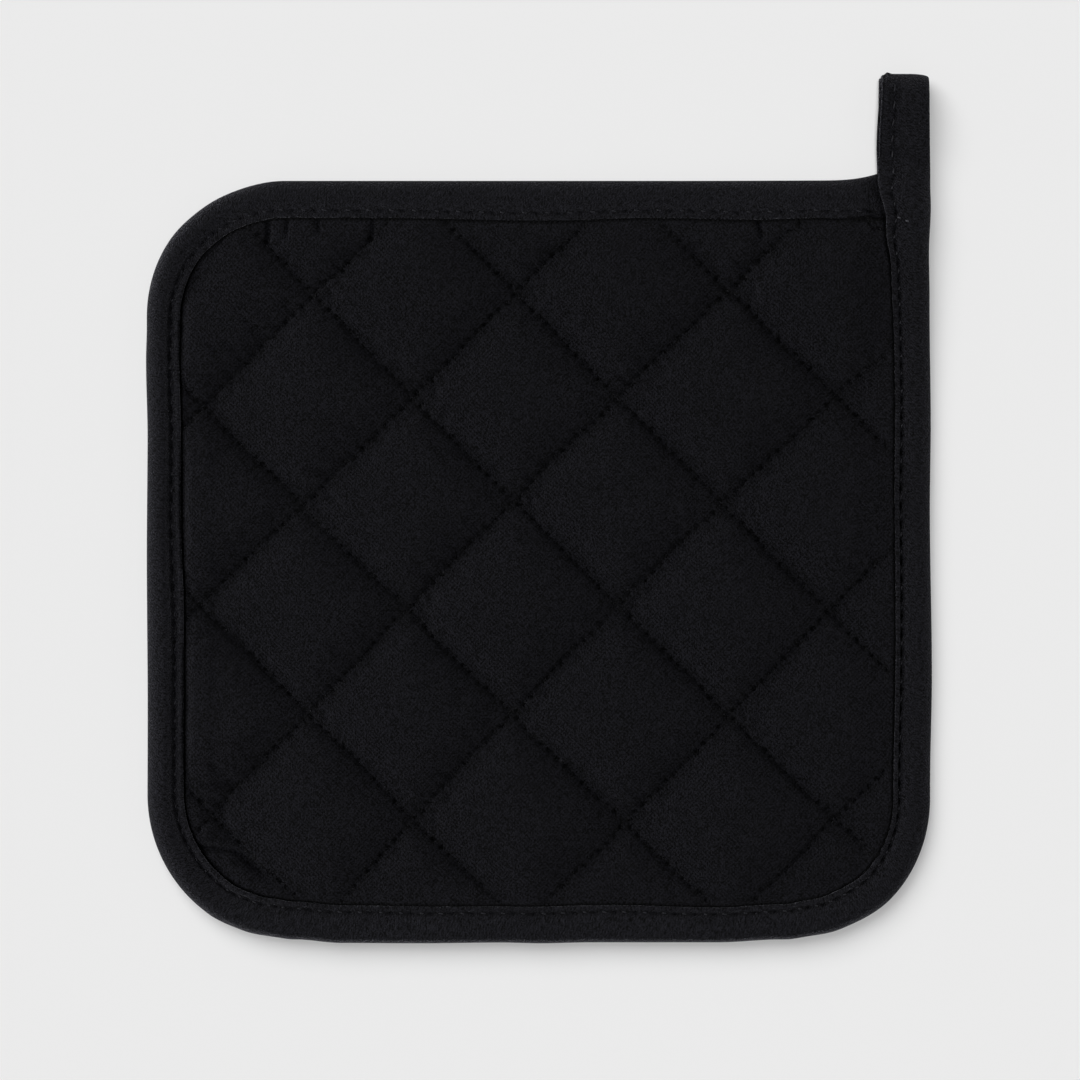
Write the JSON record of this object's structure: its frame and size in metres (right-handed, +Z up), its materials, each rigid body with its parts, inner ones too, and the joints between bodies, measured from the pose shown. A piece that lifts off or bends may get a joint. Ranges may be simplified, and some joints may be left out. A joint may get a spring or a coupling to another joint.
{
  "type": "quilted pot holder",
  "caption": "Flat quilted cotton pad with a bound edge, one square corner and a hanging loop there, for holding hot pans.",
  "frame": {"origin": "middle of the footprint of the whole thing, loop included, on the surface that it lies on", "axes": "+Z up out of the face, +Y towards the side with the loop, +X to the right as seen from above, so the loop is at the +X +Y corner"},
  "size_m": [0.203, 0.225, 0.0101],
  "materials": {
    "pad_cotton": "matt black cotton twill",
    "binding_cotton": "matt black cotton twill tape",
    "loop_cotton": "matt black cotton twill tape"
  },
  "bodies": {
    "root": {"quilted_pad": "pad_cotton", "edge_binding": "binding_cotton", "hanging_loop": "loop_cotton"}
  },
  "joints": []
}
